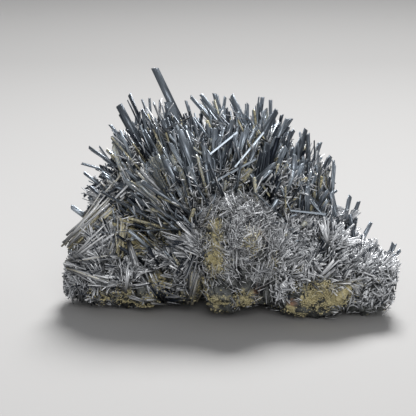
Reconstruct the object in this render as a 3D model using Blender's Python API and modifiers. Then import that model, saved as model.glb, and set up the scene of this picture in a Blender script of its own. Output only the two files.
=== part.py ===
"""Stibnite crystal spray: a hand specimen of blades and needles on their own matted ground mass.

The spray, the short needles and the ground mass grew together, so they are one solid, crystal_cluster.
A few snapped needles lie caught across it, joined to nothing, and each of those is its own solid.

Every size below is in millimetres and is turned to metres once, by MM, where a mesh is made.
+X runs along the specimen, +Y away from its front, +Z up. Z = 0 is the surface that it rests on,
and the origin is the middle of its footprint's box.
"""

import math

import bmesh
import bpy
import numpy as np
from mathutils import Matrix, Vector

MM = 0.001
SEED = 16

# The ground mass is lumps that run into each other. name: (centre, half sizes)
LUMPS = {
    "left_foot": ((-32.0, 2.0, 14.4), (16.0, 16.5, 15.2)),
    "left_corner": ((-42.6, 0.0, 11.5), (10.0, 11.0, 9.0)),
    "left_shoulder": ((-27.5, 4.0, 27.5), (14.5, 13.5, 13.0)),
    "left_bridge": ((-15.0, -4.0, 15.2), (10.5, 11.5, 11.6)),
    "centre_knob": ((1.5, -17.0, 22.3), (11.8, 12.6, 17.2)),
    "right_bridge": ((15.0, -12.5, 15.6), (9.0, 11.6, 12.3)),
    "right_foot": ((26.0, -10.0, 12.6), (15.6, 15.5, 13.2)),
    "right_end": ((41.8, -8.5, 8.6), (8.4, 11.2, 9.2)),
    "right_shoulder": ((20.5, 3.0, 23.0), (12.8, 13.5, 11.6)),
    "core": ((-3.0, 6.0, 24.0), (33.0, 18.0, 20.0)),
    "back_foot": ((0.0, 14.0, 12.0), (38.5, 16.5, 13.8)),
}
BOXY = 2.7  # a lump is round at 2 and a box at a great number
# Bunches stand out of the lumps' open faces. name of the lump: how many
BUNCHES = {
    "left_foot": 9,
    "left_corner": 4,
    "left_shoulder": 6,
    "left_bridge": 2,
    "centre_knob": 6,
    "right_bridge": 2,
    "right_foot": 9,
    "right_end": 5,
    "right_shoulder": 6,
    "back_foot": 11,
}
BUNCH_HALF_SIZES = (3.2, 6.2)
BUNCH_DEPTH = 0.84  # where a bunch's middle lies, as a share of the lump's size
BUNCH_LOWEST = 2.0  # how high every bunch's own lowest point is kept
# Dark hollows between the lumps. name: (centre, half sizes)
HOLLOWS = {
    "left_of_knob": ((-13.5, -18.5, 29.0), (3.2, 6.5, 8.0)),
    "right_of_knob": ((15.0, -24.5, 29.0), (2.8, 7.0, 7.0)),
    "left_ledge": ((-46.0, -10.5, 24.0), (6.0, 4.5, 3.0)),
    "left_pit": ((-25.0, -13.5, 28.0), (4.0, 5.0, 4.0)),
    "right_pit": ((35.5, -24.5, 18.5), (4.0, 4.0, 3.5)),
    "back_pit": ((-16.0, 30.0, 15.0), (5.0, 4.5, 4.5)),
}
GRAIN = 1.7  # spacing of the first, even mesh of the ground mass
FACES_KEPT = 0.14  # share of that mesh's faces left after its flat parts are thinned out
CRAGS = ((3.6, 9.0), (2.2, 4.0))  # height and width of the crags, and of the smaller ones on them

# The spray bursts from a point low in the core and fills a dome.
SPRAY_HEART = np.array((-6.0, 6.0, 5.0))
DOME_LEFT, DOME_RIGHT, DOME_UP = 56.0, 52.0, 60.0
DOME_FRONT, DOME_BACK = 36.0, 36.0
SPRAY_FLATTEST = 0.40  # sine of the lowest spray crystal's height above level
# Thick sheaves of parallel crystals fill the dome, and thin blades stand out of them.
# kind: (count, shortest and longest as a share of the dome, widths, how far it may lean off)
SPRAY = {
    "sheaves": (34, (0.66, 0.82), (2.8, 4.4), 0.12),
    "inner blades": (40, (0.68, 0.86), (1.0, 2.0), 0.24),
    "outer blades": (28, (0.86, 1.0), (0.9, 1.9), 0.20),
}
# Beside each crystal of the skyline grows one more, a little shorter and turned a little off.
FOLLOWER_SETBACK = (2.0, 9.0)
FOLLOWER_SPREAD = np.array((2.2, 4.0, 1.0))
FOLLOWER_SCATTER = 0.14
FOLLOWER_WIDTHS = (1.0, 2.0)
FOLLOWER_HIGHEST = 67.0
SPRAY_LENGTH = 20.0

NEEDLES_A_BUNCH = 4
NEEDLE_REACH = (2.2, 5.2)  # how far a short needle stands out of its bunch
NEEDLE_WIDTHS = (0.9, 1.5)
NEEDLE_SCATTER = 0.25
NEEDLE_LOWEST = 4.0  # no needle ends lower, so none reaches under the specimen
HALF_BOX = (54.4, 33.4)  # no scattered crystal ends outside this half length and half depth

SINK = 0.80  # a root lies inside its lump at this share of the lump's size
STEP_TO_ROOT = 1.0
LONGEST_REACH = 2.2  # a crystal that would have to grow to this many times its length is left out
FLATNESS = 0.62  # a blade's thickness over its width
BLUNT_SLOPE = 0.45  # height of a slanted end over the blade's width
SIX_SIDED = 1.9  # a blade this much wider than thick has six sides, and any other four


class Crystal:
    """One straight blade: where it ends, the way it grows, how long, wide and thick it is."""

    def __init__(self, tip, lean, pitch, length, width, turn=20.0, thickness=None):
        self.tip = np.array(tip, float)
        self.way = way_of(lean, pitch)
        self.length = length
        self.width = width
        self.thickness = thickness or width * FLATNESS
        self.turn = turn

    def root(self):
        return self.tip - self.way * self.length


def way_of(lean, pitch):
    """The unit direction that leans to +X by lean and to +Y by pitch, in degrees from upright."""
    lean, pitch = math.radians(lean), math.radians(pitch)
    return np.array(
        (math.sin(lean) * math.cos(pitch), math.sin(pitch), math.cos(lean) * math.cos(pitch))
    )


# The crystals of the skyline, from left to right: end, lean, pitch, length, width.
SKYLINE = (
    Crystal((-50.5, -5.0, 39.5), -122, -8, 12, 1.1),
    Crystal((-49.5, -3.0, 37.0), -130, 4, 12, 1.0),
    Crystal((-51.0, 0.0, 42.0), -100, 6, 14, 1.0),
    Crystal((-48.0, -4.0, 45.5), -50, -6, 16, 1.2),
    Crystal((-49.0, 0.0, 47.5), -74, 0, 20, 1.0),
    Crystal((-46.5, 0.0, 53.0), -55, 0, 22, 1.1),
    Crystal((-43.5, 6.0, 52.0), -36, 8, 20, 0.9),
    Crystal((-38.5, -4.0, 57.5), -34, -6, 26, 1.4),
    Crystal((-39.5, 0.0, 60.5), -38, 0, 28, 1.3),
    Crystal((-36.5, 0.0, 67.0), -27, -2, 36, 2.7, turn=8, thickness=1.3),
    Crystal((-33.5, 8.0, 69.0), -23, 6, 36, 1.3),
    Crystal((-29.5, 10.0, 67.0), -20, 8, 34, 0.9),
    Crystal((-27.0, 12.0, 67.0), -4, 10, 34, 1.1),
    Crystal((-25.0, 6.0, 78.0), -25, 2, 50, 3.0, turn=5, thickness=1.4),
    Crystal((-20.8, 5.0, 67.0), -21, 1, 42, 3.2, turn=9, thickness=1.6),
    Crystal((-21.5, 2.5, 66.5), -14, -2, 38, 1.6),
    Crystal((-15.0, 10.0, 66.5), -16, 8, 34, 1.2),
    Crystal((-13.5, 12.0, 67.5), -42, 8, 34, 1.5),
    Crystal((-10.0, 8.0, 69.0), -36, 4, 36, 1.5),
    Crystal((-5.5, 12.0, 68.5), -14, 10, 36, 1.9),
    Crystal((-2.0, 14.0, 67.0), 8, 12, 34, 1.3),
    Crystal((0.0, 6.0, 69.0), -25, 0, 36, 1.9),
    Crystal((2.0, 9.0, 65.5), -20, 4, 34, 1.5),
    Crystal((5.2, 4.0, 66.8), 0, -2, 34, 1.1),
    Crystal((8.8, 11.0, 65.5), 3, 10, 34, 1.3),
    Crystal((10.3, 12.0, 67.3), 8, 10, 34, 1.6),
    Crystal((13.0, 14.0, 66.0), 0, 12, 34, 1.5),
    Crystal((14.6, 1.0, 65.0), 27, -2, 38, 2.6, turn=12, thickness=1.3),
    Crystal((16.5, 6.0, 62.5), 14, 4, 32, 1.4),
    Crystal((19.8, 12.0, 60.0), 34, 10, 32, 1.7),
    Crystal((20.5, 6.0, 57.5), 27, 4, 30, 1.7),
    Crystal((22.6, 3.0, 55.0), 22, 0, 28, 1.5),
    Crystal((24.3, 4.0, 58.2), 14, 2, 30, 1.8),
    Crystal((25.0, 4.0, 56.5), -2, 2, 28, 1.5),
    Crystal((29.2, 8.0, 52.8), 18, 6, 24, 1.9),
    Crystal((28.6, 3.0, 50.0), 5, 0, 24, 1.4),
    Crystal((32.6, 4.0, 49.2), 27, 2, 22, 1.5),
    Crystal((33.3, 0.0, 48.5), 4, 0, 20, 1.2),
    Crystal((34.6, 0.0, 38.5), 55, -4, 14, 1.1),
)
# The crystals low on the right and left, which set the specimen's length.
ENDS = (
    Crystal((55.0, -8.0, 20.5), 40, -4, 12, 1.4),
    Crystal((53.6, -5.0, 21.6), 24, 6, 12, 1.3),
    Crystal((54.6, -12.0, 16.5), 66, -10, 11, 1.2),
    Crystal((52.4, -9.0, 23.2), 16, 2, 13, 1.2),
    Crystal((45.5, -5.0, 29.0), 26, 0, 14, 1.6),
    Crystal((41.5, -3.0, 35.5), 20, 4, 14, 1.7),
    Crystal((39.0, 1.0, 36.5), 12, 8, 14, 1.5),
    Crystal((-55.0, -1.0, 14.6), -88, -6, 14, 1.5),
    Crystal((-54.6, 2.0, 11.0), -104, 6, 12, 1.3),
    Crystal((-53.0, -3.0, 19.0), -66, -8, 13, 1.3),
)
# The crystals that stand out on the spray's front.
FRONT = (
    Crystal((-26.3, -11.0, 48.1), -35, -12, 24, 1.9),
    Crystal((-29.5, -11.5, 41.5), -54, -10, 22, 1.8),
    Crystal((-21.5, -10.5, 51.2), -22, -12, 26, 2.1),
    Crystal((-31.5, -8.0, 47.0), -46, -6, 24, 1.4),
    Crystal((-16.0, -8.0, 55.0), -12, -8, 26, 1.8),
    Crystal((-9.5, -9.0, 57.0), -18, -10, 26, 1.6),
    Crystal((-5.5, -6.5, 60.6), 1, -6, 28, 1.9),
    Crystal((0.0, -5.5, 63.0), 9, -6, 30, 1.7),
    Crystal((5.1, -5.5, 61.0), 15, -4, 28, 2.0),
    Crystal((10.5, -11.5, 46.5), 25, -20, 14, 1.5),
    Crystal((4.7, -11.5, 48.5), -33, -16, 14, 1.2),
    Crystal((14.9, -10.0, 48.0), -40, -14, 14, 1.4),
    Crystal((17.5, -7.0, 54.5), 24, -10, 22, 1.9),
    Crystal((22.5, -7.5, 49.0), 20, -12, 20, 1.7),
    Crystal((27.0, -6.5, 45.5), 14, -8, 18, 1.5),
    Crystal((33.2, -1.0, 48.7), 2, -4, 20, 1.1),
    Crystal((31.0, -8.0, 40.5), 30, -14, 14, 1.3),
    Crystal((-37.0, -8.5, 42.5), -58, -8, 18, 1.3),
    Crystal((-42.0, -6.5, 46.0), -52, -6, 18, 1.4),
)
# Snapped needles that lie across the spray. name: (one end, other end, width)
LOOSE_NEEDLES = {
    "loose_needle_left": ((-8.0, -11.0, 52.4), (1.9, -8.0, 59.9), 0.9),
    "loose_needle_centre": ((0.8, -12.0, 49.1), (10.3, -7.0, 59.6), 0.8),
    "loose_needle_long": ((-6.4, -14.0, 44.4), (7.8, -12.8, 52.0), 1.0),
    "loose_needle_right": ((18.6, -15.0, 35.6), (30.3, -14.0, 34.0), 0.9),
}
CLEARANCE = 0.45


def unit(vectors):
    return vectors / np.linalg.norm(vectors, axis=-1, keepdims=True)


def boxed(out):
    """A direction, scaled to end on the skin of a lump whose half sizes are all 1."""
    return out / (np.abs(out) ** BOXY).sum() ** (1 / BOXY)


def inside(point, lumps, share=1.0):
    """True if the point lies in some lump shrunk to that share of its size."""
    return any(
        (np.abs((point - np.array(centre)) / (share * np.array(half))) ** BOXY).sum() < 1.0
        for centre, half in lumps
    )


def bunches(rng):
    """Small lumps set into the open faces of the large ones: a list of (centre, half sizes)."""
    found = []
    for name, count in BUNCHES.items():
        centre, half = (np.array(part) for part in LUMPS[name])
        made = 0
        while made < count:
            out = boxed(rng.normal(size=3))
            middle = centre + out * half * BUNCH_DEPTH
            if inside(centre + out * half, LUMPS.values(), 0.97):
                continue
            crowded = any(np.linalg.norm(middle - other) < BUNCH_HALF_SIZES[0] for other, _ in found)
            if crowded:
                continue
            size = rng.uniform(*BUNCH_HALF_SIZES, 3)
            if middle[2] - size[2] < BUNCH_LOWEST or abs(middle[1]) + size[1] > HALF_BOX[1]:
                continue
            found.append((middle, size))
            made += 1
    return found


def rooted(crystal):
    """The crystal, made longer until its root is well inside the ground mass, or None if it's far off."""
    longest = crystal.length * LONGEST_REACH
    while not inside(crystal.root(), LUMPS.values(), SINK):
        crystal.length += STEP_TO_ROOT
        if crystal.length > longest:
            return None
    return crystal


def gap_between(a0, a1, b0, b1):
    """The shortest distance between two straight lines' ends and middles, sampled finely."""
    share = np.linspace(0.0, 1.0, 25)[:, None]
    along_a = a0 + share * (a1 - a0)
    along_b = b0 + share * (b1 - b0)
    return np.linalg.norm(along_a[:, None] - along_b[None], axis=2).min()


def clear_of_loose_needles(crystal):
    """True if the crystal keeps its clearance from every loose needle."""
    return all(
        gap_between(crystal.root(), crystal.tip, np.array(start), np.array(end))
        > (crystal.width + width) / 2 + CLEARANCE
        for start, end, width in LOOSE_NEEDLES.values()
    )


def crystal_along(rng, tip, way, length, widths):
    """A crystal that ends at tip and grows along way, with its width drawn from widths."""
    lean = math.degrees(math.atan2(way[0], way[2]))
    pitch = math.degrees(math.asin(way[1]))
    return Crystal(tip, lean, pitch, length, rng.uniform(*widths), turn=rng.uniform(0, 180))


def spray_crystals(rng):
    """Crystals spread evenly over the dome, each roughly in line with the heart."""
    found = []
    for count, shares, widths, scatter in SPRAY.values():
        made = 0
        while made < count:
            out = unit(rng.normal(size=3))
            out[2] = abs(out[2])
            if out[2] < SPRAY_FLATTEST:
                continue
            dome = np.array(
                (
                    DOME_RIGHT if out[0] > 0 else DOME_LEFT,
                    DOME_BACK if out[1] > 0 else DOME_FRONT,
                    DOME_UP,
                )
            )
            tip = SPRAY_HEART + out * dome * rng.uniform(*shares)
            way = unit(unit(tip - SPRAY_HEART) + rng.normal(size=3) * scatter)
            found.append(crystal_along(rng, tip, way, SPRAY_LENGTH, widths))
            made += 1
    return found


def followers(rng):
    """Crystals that grow close beside those of the skyline."""
    found = []
    for crystal in SKYLINE:
        back = crystal.way * rng.uniform(*FOLLOWER_SETBACK)
        tip = crystal.tip - back + rng.normal(size=3) * FOLLOWER_SPREAD
        turned = unit(crystal.way + rng.normal(size=3) * FOLLOWER_SCATTER)
        if tip[2] < FOLLOWER_HIGHEST:
            found.append(crystal_along(rng, tip, turned, crystal.length, FOLLOWER_WIDTHS))
    return found


def short_crystals(rng, bunch_list):
    """Short needles that stand out of each bunch, away from its middle."""
    found = []
    for middle, size in bunch_list:
        outward = unit(middle - SPRAY_HEART)
        for _ in range(NEEDLES_A_BUNCH):
            out = unit(outward + rng.normal(size=3) * 0.6)
            foot = middle + boxed(out) * size
            way = unit(out + rng.normal(size=3) * NEEDLE_SCATTER)
            tip = foot + way * rng.uniform(*NEEDLE_REACH)
            if tip[2] < NEEDLE_LOWEST:
                continue
            found.append(crystal_along(rng, tip, way, size.min() + NEEDLE_REACH[1], NEEDLE_WIDTHS))
    return found


def in_box(crystal):
    return abs(crystal.tip[0]) < HALF_BOX[0] and abs(crystal.tip[1]) < HALF_BOX[1]


def all_crystals(rng, bunch_list):
    scattered = [*spray_crystals(rng), *followers(rng), *short_crystals(rng, bunch_list)]
    scattered = filter(in_box, scattered)
    grown = [*SKYLINE, *ENDS, *FRONT, *scattered]
    return [c for c in map(rooted, grown) if c and clear_of_loose_needles(c)]


def add_prism(mesh, root, tip, width, thickness, turn):
    """Adds a flattened prism from root to tip, its far end cut on a slant."""
    root, tip = Vector(root), Vector(tip)
    along = tip - root
    made = bmesh.ops.create_cone(
        mesh,
        cap_ends=True,
        segments=6 if width / thickness > SIX_SIDED else 4,
        radius1=0.5,
        radius2=0.5,
        depth=along.length,
    )["verts"]
    for vert in made:
        if vert.co.z > 0:
            vert.co.z += (vert.co.x - 0.5) * BLUNT_SLOPE * width
        vert.co.x *= width
        vert.co.y *= thickness
    facing = along.to_track_quat("Z", "Y").to_matrix().to_4x4()
    placing = Matrix.Translation((root + tip) / 2) @ facing @ Matrix.Rotation(math.radians(turn), 4, "Z")
    bmesh.ops.transform(mesh, matrix=Matrix.Scale(MM, 4) @ placing, verts=made)


def material(name, colour, roughness, metallic):
    """A Principled material of one colour."""
    made = bpy.data.materials.new(name)
    made.use_nodes = True
    shader = made.node_tree.nodes["Principled BSDF"]
    shader.inputs["Base Color"].default_value = (*colour, 1.0)
    shader.inputs["Roughness"].default_value = roughness
    shader.inputs["Metallic"].default_value = metallic
    made.diffuse_color = (*colour, 1.0)
    return made


def object_of(name, build, collection, finish=None):
    """An object whose mesh is what build puts in it."""
    mesh = bmesh.new()
    build(mesh)
    data = bpy.data.meshes.new(name)
    mesh.to_mesh(data)
    mesh.free()
    made = bpy.data.objects.new(name, data)
    collection.objects.link(made)
    if finish:
        data.materials.append(finish)
    return made


def hide_tool(tool):
    tool.hide_render = True
    tool.display_type = "WIRE"


def boolean(target, tool, operation):
    """Joins the tool to the target, or cuts it away. Shapes that cross within one mesh are resolved too."""
    change = target.modifiers.new(tool.name, "BOOLEAN")
    change.operation = operation
    change.solver = "EXACT"
    change.use_self = True
    change.object = tool


def add_lumps(mesh, lumps):
    """Adds one rounded box for each lump: a ball of facets with each point moved out. They overlap."""
    for centre, half in lumps:
        ball = bmesh.ops.create_icosphere(mesh, subdivisions=3, radius=1.0)["verts"]
        for vert in ball:
            vert.co = Vector((np.array(centre) + boxed(np.array(vert.co)) * half) * MM)


def remesh(target):
    """Gives the target one even skin in place of all that crosses in it."""
    even = target.modifiers.new("one_skin", "REMESH")
    even.mode = "VOXEL"
    even.voxel_size = GRAIN * MM


def make_craggy(target, hollows):
    """Turns overlapping lumps into one craggy mass: hollows, an even skin, crags, then larger faces."""
    boolean(target, hollows, "DIFFERENCE")
    remesh(target)
    for height, width in CRAGS:
        relief = bpy.data.textures.new("crags", "CLOUDS")
        relief.noise_type = "HARD_NOISE"
        relief.noise_scale = width * MM
        push = target.modifiers.new("crags", "DISPLACE")
        push.texture = relief
        push.texture_coords = "LOCAL"
        push.strength = height * MM
        push.mid_level = 0.35
    remesh(target)
    thin = target.modifiers.new("fewer_faces", "DECIMATE")
    thin.ratio = FACES_KEPT


def add_crystals(mesh, crystals):
    for crystal in crystals:
        add_prism(mesh, crystal.root(), crystal.tip, crystal.width, crystal.thickness, crystal.turn)


def build_floor(mesh):
    size = Vector((200.0, 200.0, 40.0))
    placing = Matrix.Translation((0, 0, -size.z / 2)) @ Matrix.Diagonal(size).to_4x4()
    bmesh.ops.create_cube(mesh, size=1.0, matrix=Matrix.Scale(MM, 4) @ placing)


def main():
    for old in list(bpy.data.objects):
        bpy.data.objects.remove(old, do_unlink=True)
    specimen = bpy.data.collections.new("stibnite_crystal_spray")
    tools = bpy.data.collections.new("tools")
    for collection in (specimen, tools):
        bpy.context.scene.collection.children.link(collection)

    rng = np.random.default_rng(SEED)
    bunch_list = bunches(rng)
    ground = [*LUMPS.values(), *bunch_list]
    grown = all_crystals(rng, bunch_list)

    stibnite = material("stibnite", (0.20, 0.22, 0.25), 0.38, 0.7)
    cluster = object_of("crystal_cluster", lambda mesh: add_lumps(mesh, ground), specimen, stibnite)
    hollows = object_of("hollows_cut", lambda mesh: add_lumps(mesh, HOLLOWS.values()), tools)
    crystals = object_of("crystals_to_join", lambda mesh: add_crystals(mesh, grown), tools)
    floor = object_of("floor_cut", build_floor, tools)
    for tool in (hollows, crystals, floor):
        hide_tool(tool)
    make_craggy(cluster, hollows)
    boolean(cluster, crystals, "UNION")
    boolean(cluster, floor, "DIFFERENCE")

    for name, (start, end, width) in LOOSE_NEEDLES.items():
        needle = (start, end, width, width * FLATNESS, 30.0)
        object_of(name, lambda mesh, needle=needle: add_prism(mesh, *needle), specimen, stibnite)


main()
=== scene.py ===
"""Looks for the stibnite crystal spray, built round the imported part.

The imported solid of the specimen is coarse. Here it is stood for by tens of thousands of single needles and
blades that grow from the same lumps, bunches and spray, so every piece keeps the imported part's place and
size. All sizes are in millimetres, and MM turns them to metres where Blender is given them.
"""

import math
from functools import partial

import bpy
import numpy as np
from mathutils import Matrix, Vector


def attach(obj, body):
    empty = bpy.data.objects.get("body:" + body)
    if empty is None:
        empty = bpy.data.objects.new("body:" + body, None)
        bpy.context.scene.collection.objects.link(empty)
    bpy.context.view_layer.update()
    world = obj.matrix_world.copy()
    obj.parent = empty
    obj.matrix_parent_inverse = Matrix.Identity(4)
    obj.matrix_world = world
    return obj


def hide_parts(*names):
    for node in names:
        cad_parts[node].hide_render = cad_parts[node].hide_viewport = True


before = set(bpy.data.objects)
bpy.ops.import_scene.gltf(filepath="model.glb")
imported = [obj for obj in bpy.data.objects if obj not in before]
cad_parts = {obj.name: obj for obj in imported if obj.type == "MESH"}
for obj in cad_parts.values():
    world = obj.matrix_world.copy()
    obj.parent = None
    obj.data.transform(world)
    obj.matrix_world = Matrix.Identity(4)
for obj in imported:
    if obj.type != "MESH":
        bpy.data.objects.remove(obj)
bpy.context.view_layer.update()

MM = 0.001

# --------------------------------------
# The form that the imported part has: the same named values and the same draws, in the same order.

SEED = 16
LUMPS = {
    "left_foot": ((-32.0, 2.0, 14.4), (16.0, 16.5, 15.2)),
    "left_corner": ((-42.6, 0.0, 11.5), (10.0, 11.0, 9.0)),
    "left_shoulder": ((-27.5, 4.0, 27.5), (14.5, 13.5, 13.0)),
    "left_bridge": ((-15.0, -4.0, 15.2), (10.5, 11.5, 11.6)),
    "centre_knob": ((1.5, -17.0, 22.3), (11.8, 12.6, 17.2)),
    "right_bridge": ((15.0, -12.5, 15.6), (9.0, 11.6, 12.3)),
    "right_foot": ((26.0, -10.0, 12.6), (15.6, 15.5, 13.2)),
    "right_end": ((41.8, -8.5, 8.6), (8.4, 11.2, 9.2)),
    "right_shoulder": ((20.5, 3.0, 23.0), (12.8, 13.5, 11.6)),
    "core": ((-3.0, 6.0, 24.0), (33.0, 18.0, 20.0)),
    "back_foot": ((0.0, 14.0, 12.0), (38.5, 16.5, 13.8)),
}
BOXY = 2.7
BUNCHES = {
    "left_foot": 9,
    "left_corner": 4,
    "left_shoulder": 6,
    "left_bridge": 2,
    "centre_knob": 6,
    "right_bridge": 2,
    "right_foot": 9,
    "right_end": 5,
    "right_shoulder": 6,
    "back_foot": 11,
}
BUNCH_HALF_SIZES = (3.2, 6.2)
BUNCH_DEPTH = 0.84
BUNCH_LOWEST = 2.0
SPRAY_HEART = np.array((-6.0, 6.0, 5.0))
DOME_LEFT, DOME_RIGHT, DOME_UP = 56.0, 52.0, 60.0
DOME_FRONT, DOME_BACK = 36.0, 36.0
SPRAY_FLATTEST = 0.40
# kind: (count, shortest and longest as a share of the dome, widths, how far it may lean off)
SPRAY = {
    "sheaves": (34, (0.66, 0.82), (2.8, 4.4), 0.12),
    "inner blades": (40, (0.68, 0.86), (1.0, 2.0), 0.24),
    "outer blades": (28, (0.86, 1.0), (0.9, 1.9), 0.20),
}
SPRAY_LENGTH = 20.0
HALF_BOX = (54.4, 33.4)
SINK = 0.80
FLATNESS = 0.62
HAND_PLACED = (
    # the skyline, from left to right: end, lean, pitch, length, width, and turn and thickness if set
    ((-50.5, -5.0, 39.5), -122, -8, 12, 1.1),
    ((-49.5, -3.0, 37.0), -130, 4, 12, 1.0),
    ((-51.0, 0.0, 42.0), -100, 6, 14, 1.0),
    ((-48.0, -4.0, 45.5), -50, -6, 16, 1.2),
    ((-49.0, 0.0, 47.5), -74, 0, 20, 1.0),
    ((-46.5, 0.0, 53.0), -55, 0, 22, 1.1),
    ((-43.5, 6.0, 52.0), -36, 8, 20, 0.9),
    ((-38.5, -4.0, 57.5), -34, -6, 26, 1.4),
    ((-39.5, 0.0, 60.5), -38, 0, 28, 1.3),
    ((-36.5, 0.0, 67.0), -27, -2, 36, 2.7, 8, 1.3),
    ((-33.5, 8.0, 69.0), -23, 6, 36, 1.3),
    ((-29.5, 10.0, 67.0), -20, 8, 34, 0.9),
    ((-27.0, 12.0, 67.0), -4, 10, 34, 1.1),
    ((-25.0, 6.0, 78.0), -25, 2, 50, 3.0, 5, 1.4),
    ((-20.8, 5.0, 67.0), -21, 1, 42, 3.2, 9, 1.6),
    ((-21.5, 2.5, 66.5), -14, -2, 38, 1.6),
    ((-15.0, 10.0, 66.5), -16, 8, 34, 1.2),
    ((-13.5, 12.0, 67.5), -42, 8, 34, 1.5),
    ((-10.0, 8.0, 69.0), -36, 4, 36, 1.5),
    ((-5.5, 12.0, 68.5), -14, 10, 36, 1.9),
    ((-2.0, 14.0, 67.0), 8, 12, 34, 1.3),
    ((0.0, 6.0, 69.0), -25, 0, 36, 1.9),
    ((2.0, 9.0, 65.5), -20, 4, 34, 1.5),
    ((5.2, 4.0, 66.8), 0, -2, 34, 1.1),
    ((8.8, 11.0, 65.5), 3, 10, 34, 1.3),
    ((10.3, 12.0, 67.3), 8, 10, 34, 1.6),
    ((13.0, 14.0, 66.0), 0, 12, 34, 1.5),
    ((14.6, 1.0, 65.0), 27, -2, 38, 2.6, 12, 1.3),
    ((16.5, 6.0, 62.5), 14, 4, 32, 1.4),
    ((19.8, 12.0, 60.0), 34, 10, 32, 1.7),
    ((20.5, 6.0, 57.5), 27, 4, 30, 1.7),
    ((22.6, 3.0, 55.0), 22, 0, 28, 1.5),
    ((24.3, 4.0, 58.2), 14, 2, 30, 1.8),
    ((25.0, 4.0, 56.5), -2, 2, 28, 1.5),
    ((29.2, 8.0, 52.8), 18, 6, 24, 1.9),
    ((28.6, 3.0, 50.0), 5, 0, 24, 1.4),
    ((32.6, 4.0, 49.2), 27, 2, 22, 1.5),
    ((33.3, 0.0, 48.5), 4, 0, 20, 1.2),
    ((34.6, 0.0, 38.5), 55, -4, 14, 1.1),
    # the low ends of the specimen
    ((55.0, -8.0, 20.5), 40, -4, 12, 1.4),
    ((53.6, -5.0, 21.6), 24, 6, 12, 1.3),
    ((54.6, -12.0, 16.5), 66, -10, 11, 1.2),
    ((52.4, -9.0, 23.2), 16, 2, 13, 1.2),
    ((45.5, -5.0, 29.0), 26, 0, 14, 1.6),
    ((41.5, -3.0, 35.5), 20, 4, 14, 1.7),
    ((39.0, 1.0, 36.5), 12, 8, 14, 1.5),
    ((-55.0, -1.0, 14.6), -88, -6, 14, 1.5),
    ((-54.6, 2.0, 11.0), -104, 6, 12, 1.3),
    ((-53.0, -3.0, 19.0), -66, -8, 13, 1.3),
    # the front of the spray
    ((-26.3, -11.0, 48.1), -35, -12, 24, 1.9),
    ((-29.5, -11.5, 41.5), -54, -10, 22, 1.8),
    ((-21.5, -10.5, 51.2), -22, -12, 26, 2.1),
    ((-31.5, -8.0, 47.0), -46, -6, 24, 1.4),
    ((-16.0, -8.0, 55.0), -12, -8, 26, 1.8),
    ((-9.5, -9.0, 57.0), -18, -10, 26, 1.6),
    ((-5.5, -6.5, 60.6), 1, -6, 28, 1.9),
    ((0.0, -5.5, 63.0), 9, -6, 30, 1.7),
    ((5.1, -5.5, 61.0), 15, -4, 28, 2.0),
    ((10.5, -11.5, 46.5), 25, -20, 14, 1.5),
    ((4.7, -11.5, 48.5), -33, -16, 14, 1.2),
    ((14.9, -10.0, 48.0), -40, -14, 14, 1.4),
    ((17.5, -7.0, 54.5), 24, -10, 22, 1.9),
    ((22.5, -7.5, 49.0), 20, -12, 20, 1.7),
    ((27.0, -6.5, 45.5), 14, -8, 18, 1.5),
    ((33.2, -1.0, 48.7), 2, -4, 20, 1.1),
    ((31.0, -8.0, 40.5), 30, -14, 14, 1.3),
    ((-37.0, -8.5, 42.5), -58, -8, 18, 1.3),
    ((-42.0, -6.5, 46.0), -52, -6, 18, 1.4),
)
LOOSE_NEEDLES = {
    "loose_needle_left": ((-8.0, -11.0, 52.4), (1.9, -8.0, 59.9), 0.9),
    "loose_needle_centre": ((0.8, -12.0, 49.1), (10.3, -7.0, 59.6), 0.8),
    "loose_needle_long": ((-6.4, -14.0, 44.4), (7.8, -12.8, 52.0), 1.0),
    "loose_needle_right": ((18.6, -15.0, 35.6), (30.3, -14.0, 34.0), 0.9),
}

# --------------------------------------
# What only the looks have.

LOOKS_SEED = 5
# The outline from the front and FRONT_RISE above: how far to +X, and how far up at right angles to that
# line of sight. It was read off to about half a millimetre. No fine crystal ends outside it.
FRONT_OUTLINE = (
    (-55.6, 3.0), (-55.9, 5.4), (-55.6, 9.0), (-54.6, 13.9), (-52.3, 18.5), (-50.7, 22.8), (-48.7, 27.0),
    (-47.1, 30.0), (-47.7, 33.3), (-49.7, 36.9), (-47.7, 39.5), (-45.4, 42.1), (-43.1, 45.4), (-41.8, 48.0),
    (-40.5, 52.0), (-38.9, 55.3), (-35.9, 57.9), (-33.3, 60.8), (-30.7, 63.1), (-28.0, 64.8), (-24.8, 67.7),
    (-20.2, 68.4), (-16.2, 64.4), (-13.0, 64.8), (-10.3, 67.7), (-6.4, 67.4), (-1.8, 66.4), (1.5, 65.1),
    (4.8, 63.1), (8.1, 64.4), (11.3, 66.1), (14.0, 65.8), (16.3, 61.2), (19.2, 60.5), (21.5, 57.2),
    (25.1, 56.2), (27.7, 53.3), (30.4, 50.0), (32.7, 47.4), (33.0, 32.9), (36.6, 31.6), (40.9, 31.3),
    (42.5, 27.0), (43.5, 21.8), (47.4, 21.8), (48.7, 18.2), (52.4, 17.8), (55.3, 14.6), (54.0, 10.6),
    (52.7, 6.4), (53.0, 1.4), (48.1, -4.8), (42.2, -2.5), (37.0, -3.2), (32.0, -4.3), (26.0, -4.1),
    (15.0, -1.6), (-2.0, -0.9), (-7.0, 0.5), (-10.3, 3.7), (-12.0, 2.4), (-20.0, 1.0), (-31.7, -1.2),
    (-45.0, -0.2), (-52.0, 1.1),
)
FRONT_RISE = math.radians(14.0)
FINE_HALF_BOX = (55.6, 34.4)  # the fine crystals end inside this
FINE_LOWEST = 0.5  # and above this
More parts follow.
